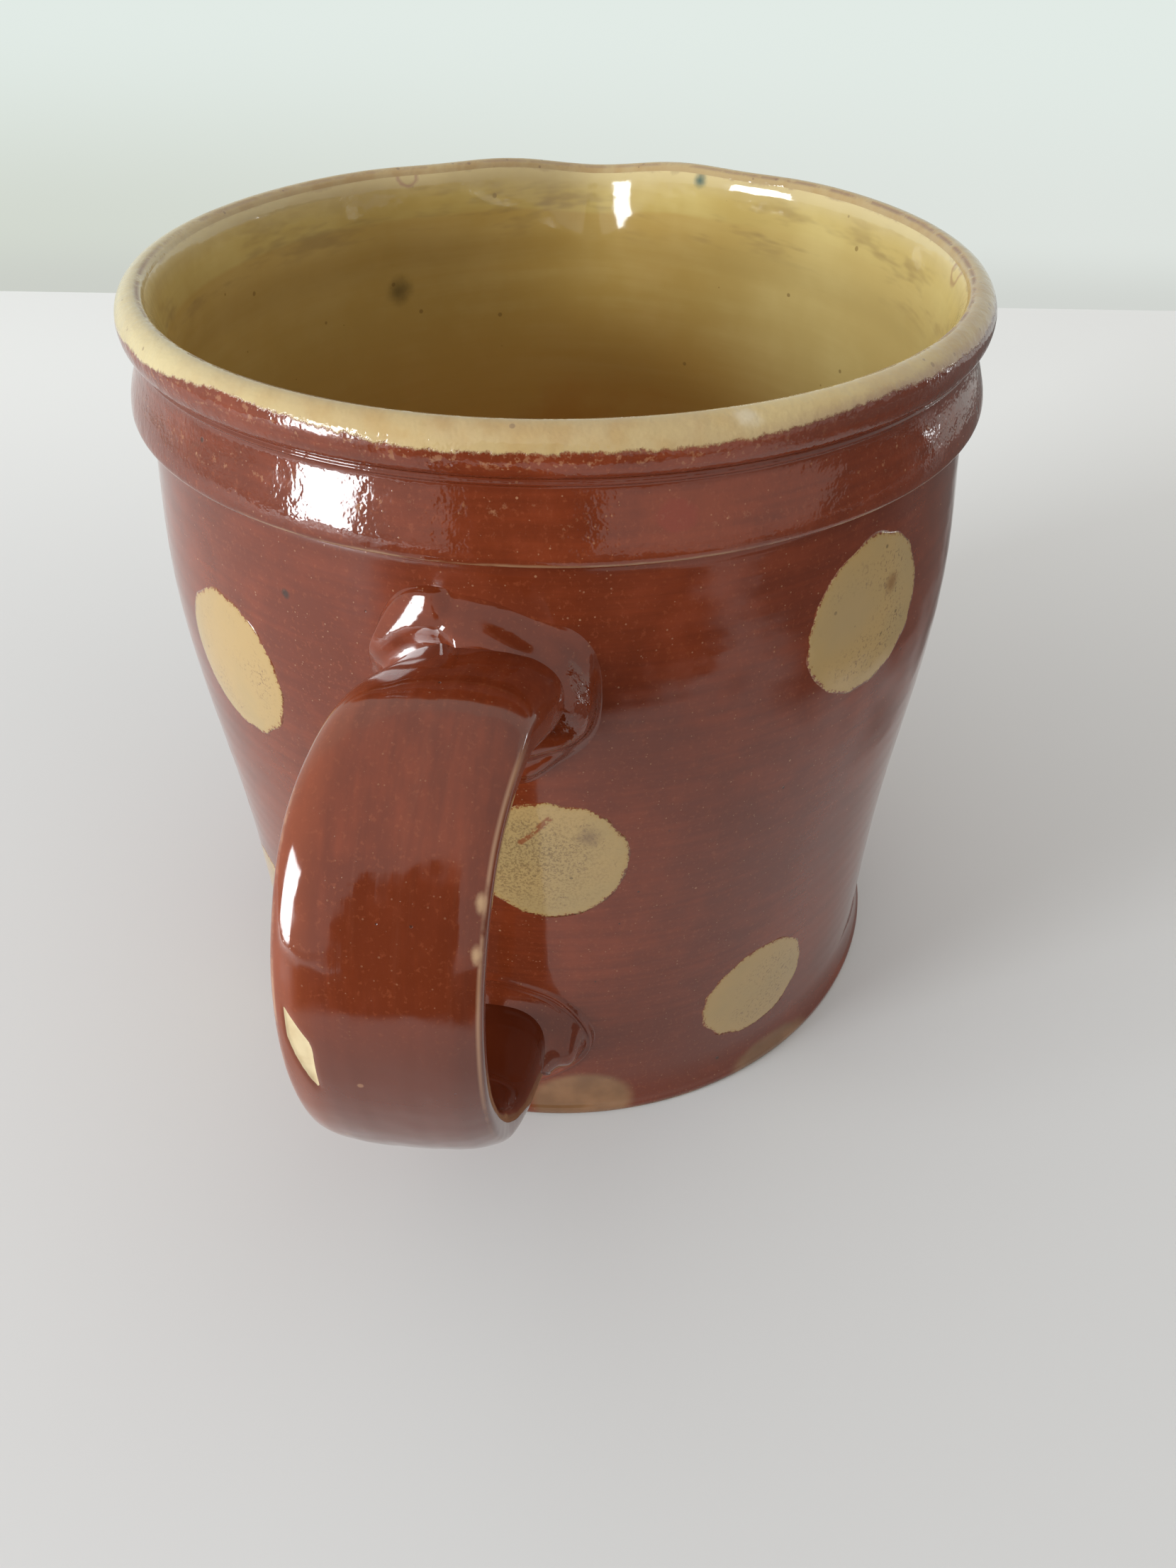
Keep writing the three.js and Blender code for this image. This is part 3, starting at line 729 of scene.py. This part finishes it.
strap = centre[:, None] + across[:, None] * side[..., None] + inwards[:, None] * depth[..., None]
inset = inside_polygon(side, strap[..., 2], CHIP)
inset = np.where((sine < 0) & (strap[..., 0] < -80), inset, -9)
chip = smoothstep(inset, -0.15, 0.25)
strap = strap + inwards[:, None] * (0.3 * chip)[..., None]
flat = strap.reshape(-1, 3)
radial = np.hypot(flat[:, 0], flat[:, 1])
deepest = wall_radius(flat[:, 2]) - STRAP_SINK
out = np.maximum(deepest / radial, 1)
flat = np.stack([flat[:, 0] * out, flat[:, 1] * out, flat[:, 2]], 1)
ends = np.stack([flat[:STRAP_COLUMNS].mean(0), flat[-STRAP_COLUMNS:].mean(0)])
count = len(flat)
faces = grid_faces(STRAP_ROWS, STRAP_COLUMNS)
for j in range(STRAP_COLUMNS):
    k = (j + 1) % STRAP_COLUMNS
    faces.append((count, k, j))
    faces.append((count + 1, count - STRAP_COLUMNS + j, count - STRAP_COLUMNS + k))
faces = [f[::-1] for f in faces]
make_piece(
    "strap_handle", np.concatenate([flat, ends]), faces,
    handle_material(), "handle",
    {
        "across": np.append(side.ravel(), (0, 0)),
        "along": np.append(np.repeat(along * path_length, STRAP_COLUMNS), (0, path_length)),
        "outer": np.append(np.broadcast_to(-sine, side.shape).ravel(), (0, 0)),
        "chip": np.append(chip.ravel(), (0, 0)),
    },
)

# ---------------------------------------------------------------- the clay around the handle's ends

JOINT_COLUMNS, JOINT_ROWS = 180, 40
joint_glaze = joint_material()


def wall_point(sideways, height, lift):
    """A point on the wall behind the handle, lift millimetres off its surface."""
    slope = (wall_radius(height + 0.1) - wall_radius(height - 0.1)) / 0.2
    angle = math.pi - sideways / wall_radius(height)
    shorten = 1 / np.sqrt(1 + slope**2)
    radius = wall_radius(height) + lift * shorten
    height = height - lift * slope * shorten
    return np.stack([radius * np.cos(angle), radius * np.sin(angle), height], -1)


def joint_piece(name, node, middle, inner, outer, outline, lift, tilt):
    """A pad of clay around an end of the strap. Inner and outer are half widths and heights;
    outline, lift and tilt give its edge, its height off the wall and how that height leans up."""
    turn = np.linspace(0, 2 * math.pi, JOINT_COLUMNS, endpoint=False)[None]
    reach = np.linspace(0, 1, JOINT_ROWS)[:, None]
    grown = outline(turn)
    near = np.stack([inner[0] * np.cos(turn), inner[1] * np.sin(turn)])
    far = np.stack([outer[0] * np.cos(turn) * grown, outer[1] * np.sin(turn) * grown])
    spread = near + (far - near) * reach
    rise = lift(turn, reach, middle[0] + spread[0], middle[1] + spread[1])
    top = wall_point(middle[0] + spread[0], middle[1] + spread[1] + tilt(turn, reach, rise), rise)
    under = wall_point(middle[0] + spread[0], middle[1] + spread[1], -0.9 + 0 * rise)[::-3]
    points = np.concatenate([top, under]).reshape(-1, 3)
    rows = len(top) + len(under)
    make_piece(
        name, points, grid_faces(rows, JOINT_COLUMNS, closed_rows=True),
        joint_glaze, node,
    )

def thumbed(turn):
    """The part of the pad above left where a thumb pressed more clay on: 1 there, 0 elsewhere."""
    share = turn / math.pi
    return smoothstep(share, 0.02, 0.16) * smoothstep(share, 0.43, 0.37)


def upper_outline(turn):
    shoulder = 0.11 * bump(turn - 0.27 * math.pi, 0.45) - 0.04 * bump(turn - 0.62 * math.pi, 0.4)
    return 1 + shoulder + 0.025 * waves(turn, 3, 4) + 0.02 * waves(turn, 8, 5, 5)


def upper_lift(turn, reach, sideways, height):
    """A dome that meets the strap in a crease: a dab above left, a thick rounded end at right."""
    above = 0.5 + 0.5 * np.sin(turn)
    end = bump(turn - math.pi, 0.45)
    thick = 2.8 + 1.0 * above + 2.2 * end + 0.4 * waves(turn, 5, 4) * reach
    dome = thick * np.cos(0.5 * math.pi * np.clip(reach, 0, 1) ** (1.1 + 0.9 * end)) ** 2
    leftwards, upwards = sideways - 9.3, height - 87.4
    over, along_edge = 0.65 * leftwards + 0.76 * upwards, 0.65 * upwards - 0.76 * leftwards
    dab = 1.4 - 0.21 * leftwards - 0.37 * upwards - 0.012 * along_edge**2
    dab = dab - 0.06 * (over**2 - np.minimum(over + 2.2, 0) ** 2)
    dab = dab * smoothstep(reach, 1.0, 0.92)
    dents = 0.2 * waves(turn + 2 * reach, 11, 5, 3) * np.sin(math.pi * reach)
    smear = 0.8 * bump(turn - 1.36 * math.pi, 0.28) * bump(reach - 0.72, 0.16)
    smear = smear + 0.6 * bump(turn - 1.24 * math.pi, 0.16) * bump(reach - 0.62, 0.12)
    return dome + (dab - dome) * thumbed(turn) + dents + smear - 0.05


def upper_tilt(turn, reach, rise):
    return 0.42 * np.maximum(rise, 0) * (1 - reach) ** 1.5 * (1 - thumbed(turn))


def lower_outline(turn):
    return 1 + 0.03 * waves(turn, 21, 4) + 0.015 * waves(turn, 28, 5, 5)


def lower_lift(turn, reach, sideways, height):
    """The strap's end spread on the wall: hollow inwards, with a raised line near its edge."""
    steep = 1.9 + 4.5 * np.maximum(np.sin(turn), 0) ** 2
    hollow = (7.0 + 3.2 * np.sin(turn)) * (1 - reach) ** steep
    line = 0.85 * bump(reach - 0.84, 0.06) * (0.75 + 0.25 * waves(turn, 31, 4))
    folds = 0.3 * (bump(reach - 0.62, 0.03) + bump(reach - 0.72, 0.025))
    folds = folds * smoothstep(np.sin(turn), 0.4, 0.9)
    cheek = 2.2 * bump(turn - math.pi, 0.45) * bump(reach - 0.45, 0.25)
    fall = smoothstep(reach, 1.0, 0.9)
    return (hollow + line + folds + cheek) * fall - 0.06


def lower_tilt(turn, reach, rise):
    return 2.4 * (1 - reach) ** 1.5 * (0.5 + 0.5 * np.sin(turn)) ** 1.5


joint_piece(
    "upper_joint_clay", "upper_handle_joint", (2.4, 77.6), (7.6, 5.6), (12.7, 12.0),
    upper_outline, upper_lift, upper_tilt,
)
joint_piece(
    "lower_joint_clay", "lower_handle_joint", (5.2, 17.6), (8.6, 4.2), (14.4, 12.8),
    lower_outline, lower_lift, lower_tilt,
)

# ---------------------------------------------------------------- the slip dots

# Each dot is [azimuth in degrees, height of its middle, width, height].
DOT_ROWS = {
    "upper": [
        (138.8, 71.1, 19.0, 19.0), (-132.4, 79.2, 20.2, 19.4),
        (-43, 73.5, 20.4, 19.6), (48, 75.0, 19.6, 20.2),
    ],
    "middle": [
        (-175.8, 53.2, 19.6, 20.6), (-86, 50.5, 20.0, 19.2),
        (5, 53.0, 19.4, 20.0), (95, 51.5, 20.6, 19.6),
    ],
    "lower": [
        (-141.0, 17.7, 18.8, 18.0), (-53, 19.5, 20.2, 19.0),
        (37, 18.0, 19.8, 19.4), (127, 19.0, 20.6, 18.8),
    ],
}
DOT_COLUMNS, DOT_ROWS_ACROSS, DOT_RISE = 120, 22, 0.12


def slip_dot(name, node, azimuth, height, width, tall, seed, material):
    around = np.linspace(0, 2 * math.pi, DOT_COLUMNS, endpoint=False)[None]
    uneven = 1 + 0.02 * np.sin(2 * around + seed) + 0.015 * np.sin(3 * around + 2 * seed)
    uneven = uneven + 0.014 * waves(around, int(10 * seed), 11, 6)
    top = np.linspace(1 / DOT_ROWS_ACROSS, 1, DOT_ROWS_ACROSS)
    reach = np.concatenate([top, [0.985, 0.6, 0.2]])[:, None]
    lift = np.concatenate([DOT_RISE * (1 - top**6) - 0.01, [-0.5, -0.5, -0.5]])[:, None]
    sideways = 0.5 * width * reach * uneven * np.cos(around)
    z = height + 0.5 * tall * reach * uneven * np.sin(around)
    angle = np.radians(azimuth) + sideways / wall_radius(np.array(height))
    radius = wall_radius(z) + lift
    ring = np.stack([radius * np.cos(angle), radius * np.sin(angle), z], -1).reshape(-1, 3)
    centre_radius = wall_radius(np.array(height))
    direction = np.array([math.cos(math.radians(azimuth)), math.sin(math.radians(azimuth))])
    middles = [[*(direction * (centre_radius + d)), height] for d in (DOT_RISE, -0.5)]
    points = pinched(np.concatenate([ring, middles]))
    rows, count = len(reach), len(ring)
    faces = grid_faces(rows, DOT_COLUMNS)
    for j in range(DOT_COLUMNS):
        k = (j + 1) % DOT_COLUMNS
        faces.append((count, k, j))
        faces.append((count + 1, count - DOT_COLUMNS + j, count - DOT_COLUMNS + k))
    faces = [f[::-1] for f in faces]
    inset = ((1 - reach) * 0.25 * (width + tall) * np.ones_like(around)).ravel()
    inset = np.append(inset, (9, 9))
    make_piece(name, points, faces, material, node, {"inset": inset})


cream = dot_material()
for row, dots in DOT_ROWS.items():
    for i, dot in enumerate(dots):
        slip_dot(f"{row}_dot_{i + 1}", f"{row}_slip_dot_{i + 1}", *dot, i + dot[1], cream)

# ---------------------------------------------------------------- the stage

PAPER_NEAR, PAPER_FAR = (0.715, 0.725, 0.725), (0.88, 0.905, 0.9)
WALL_LOW_LEFT, WALL_LOW_RIGHT = (0.65, 0.69, 0.625), (0.73, 0.77, 0.735)
WALL_HIGH, WALL_FOOT_SHADOW = (0.76, 0.83, 0.79), (0.55, 0.56, 0.53)
ROOM_STRENGTH, ROOM_DIM, ROOM_BRIGHT = 0.78, (0.84, 0.81, 0.78, 1), (1.0, 0.975, 0.945, 1)


def stage_plane(name, size, location, rotation, material):
    mesh = bpy.data.meshes.new(name)
    x, y = size[0] / 2, size[1] / 2
    mesh.from_pydata([(-x, -y, 0), (x, -y, 0), (x, y, 0), (-x, y, 0)], [], [(0, 1, 2, 3)])
    plane = bpy.data.objects.new(name, mesh)
    plane.location, plane.rotation_euler = location, [math.radians(a) for a in rotation]
    bpy.context.scene.collection.objects.link(plane)
    mesh.materials.append(material)
    return plane


def paper_material():
    """Matt pale paper, painted lighter towards the wall behind: painted light."""
    s = Shader("pale_paper")
    parts = s.make("ShaderNodeSeparateXYZ", {0: s.place})
    # painted light: the paper's colour rises from near to far, towards the wall behind
    colour = s.mix(s.step(parts.outputs[0], 0.02, 0.24), PAPER_NEAR, PAPER_FAR)
    s.tree.links.new(colour, s.surface.inputs["Base Color"])
    s.surface.inputs["Roughness"].default_value = 0.9
    s.surface.inputs["Specular IOR Level"].default_value = 0.1
    return s.material


def backdrop_material():
    """A pale wall behind the jug that glows by itself instead of being lit: painted light, lighter
    at the right and at the top, with painted shade low at the left and a painted shadow where it
    meets the table.
    """
    s = Shader("backdrop")
    parts = s.make("ShaderNodeSeparateXYZ", {0: s.place})
    down, leftwards = parts.outputs[0], parts.outputs[1]
    # painted shade low at the left, painted light towards the right and the top
    colour = s.mix(s.step(leftwards, 0.22, -0.16), WALL_LOW_LEFT, WALL_LOW_RIGHT)
    colour = s.mix(s.step(down, 0.43, 0.36), colour, WALL_HIGH)
    # painted shadow along the wall's foot, where it meets the table
    colour = s.paint(colour, WALL_FOOT_SHADOW, s.step(down, 0.425, 0.45), 0.5)
    # the wall's glow is painted light
    s.tree.links.new(colour, s.surface.inputs["Emission Color"])
    s.surface.inputs["Emission Strength"].default_value = 1.0
    s.surface.inputs["Base Color"].default_value = (0, 0, 0, 1)
    s.surface.inputs["Specular IOR Level"].default_value = 0.0
    return s.material


def card_material(name, density, soft=0.1, ragged=0.4):
    """A dark shape with a soft, uneven edge, that only the glaze mirrors."""
    s = Shader(name)
    place = s.make("ShaderNodeTexCoord").outputs["Generated"]
    parts = s.make("ShaderNodeSeparateXYZ", {0: place})
    sides = [s.math("ABSOLUTE", s.math("SUBTRACT", parts.outputs[i], 0.5)) for i in (0, 1)]
    uneven = s.times(s.swing(5.0, 3.0, 0.6, place), ragged)
    round_off = s.math("SQRT", s.add(*(s.times(side, side) for side in sides)))
    edge = s.add(s.add(s.times(s.either(*sides), 0.4), s.times(round_off, 0.55)), uneven)
    s.tree.links.new(s.times(s.step(edge, 0.5, 0.5 - soft), density), s.surface.inputs["Alpha"])
    s.surface.inputs["Base Color"].default_value = (0.02, 0.018, 0.016, 1)
    return s.material


def reflection_only(plane):
    for kind in ("camera", "diffuse", "shadow", "transmission", "volume_scatter"):
        setattr(plane, f"visible_{kind}", False)


stage_plane("floor", (6, 6), (0, 0, 0), (0, 0, 0), paper_material())
backdrop = stage_plane("backdrop", (0.9, 4), (0.2928, 0, 0.45), (0, 90, 2.66), backdrop_material())
backdrop.visible_diffuse = backdrop.visible_shadow = False
dark, dim = card_material("dark_card", 1.0), card_material("dim_card", 0.85)
far_dark = card_material("far_dark_card", 0.85, 0.03, 0.1)
for size, location, rotation, material in (
    ((0.8, 0.6), (-0.56, 0.0, 0.001), (0, 0, 0), dark),
    ((0.46, 0.34), (-0.5, 0.02, 0.17), (0, 90, 0), dark),
    ((0.8, 0.7), (0.08, -0.44, 0.001), (0, 0, 0), dim),
    ((1.5, 0.4), (0.44, -0.86, 0.02), (90, 0, 0), far_dark),
):
    reflection_only(stage_plane("dark_card", size, location, rotation, material))


def lamp(name, power, size, azimuth, elevation, distance, colour):
    """A soft window that faces the jug. Power is in watts, lengths in metres, angles in degrees."""
    light = bpy.data.lights.new(name, "AREA")
    light.shape, light.size, light.size_y = "RECTANGLE", *size
    light.energy, light.color = power, colour
    lamp_object = bpy.data.objects.new(name, light)
    a, e = math.radians(azimuth), math.radians(elevation)
    direction = Vector((math.cos(a) * math.cos(e), math.sin(a) * math.cos(e), math.sin(e)))
    target = Vector((0, 0, 0.06))
    lamp_object.location = target + direction * distance
    lamp_object.rotation_mode = "QUATERNION"
    lamp_object.rotation_quaternion = direction.to_track_quat("Z", "Y")
    bpy.context.scene.collection.objects.link(lamp_object)


lamp("window", 9.0, (0.3, 0.46), 128, 12, 1.0, (0.93, 0.97, 1.0))
lamp("far_window", 0.1, (0.04, 0.11), -68, 3, 0.8, (0.95, 0.98, 1.0))

world = bpy.data.worlds.new("soft_room")
bpy.context.scene.world = world
world.use_nodes = True
background = world.node_tree.nodes["Background"]
background.inputs["Strength"].default_value = ROOM_STRENGTH
new_node, link = world.node_tree.nodes.new, world.node_tree.links.new
sky_parts, sky_side, sky = (
    new_node(f"ShaderNode{kind}") for kind in ("SeparateXYZ", "MapRange", "ValToRGB")
)
link(new_node("ShaderNodeTexCoord").outputs["Generated"], sky_parts.inputs[0])
link(sky_parts.outputs[1], sky_side.inputs[0])
sky_side.inputs[1].default_value, sky_side.inputs[2].default_value = -0.9, 0.4
link(sky_side.outputs[0], sky.inputs[0])
sky.color_ramp.elements[0].color = ROOM_DIM
sky.color_ramp.elements[1].color = ROOM_BRIGHT
link(sky.outputs[0], background.inputs["Color"])

# ---------------------------------------------------------------- the camera

CAMERA_PLACE, CAMERA_FORWARD = (-0.1535, -0.0175, 0.15365), (0.7539, 0.0671, -0.6535)
CAMERA_ROLL, FOCAL_LENGTH = 0.12, 27.67

camera = bpy.data.objects.new("camera", bpy.data.cameras.new("camera"))
camera.data.lens, camera.data.sensor_width = FOCAL_LENGTH, 36
camera.data.clip_start, camera.data.clip_end = 0.01, 20
forward = Vector(CAMERA_FORWARD).normalized()
level = forward.cross(Vector((0, 0, 1))).normalized()
roll = math.radians(CAMERA_ROLL)
rightwards = level * math.cos(roll) + level.cross(forward) * math.sin(roll)
upwards = rightwards.cross(forward)
camera.matrix_world = Matrix.Translation(CAMERA_PLACE) @ Matrix(
    (rightwards, upwards, -forward)
).transposed().to_4x4()
bpy.context.scene.collection.objects.link(camera)
bpy.context.scene.camera = camera
bpy.context.scene.view_settings.view_transform = "Standard"

bpy.context.view_layer.update()
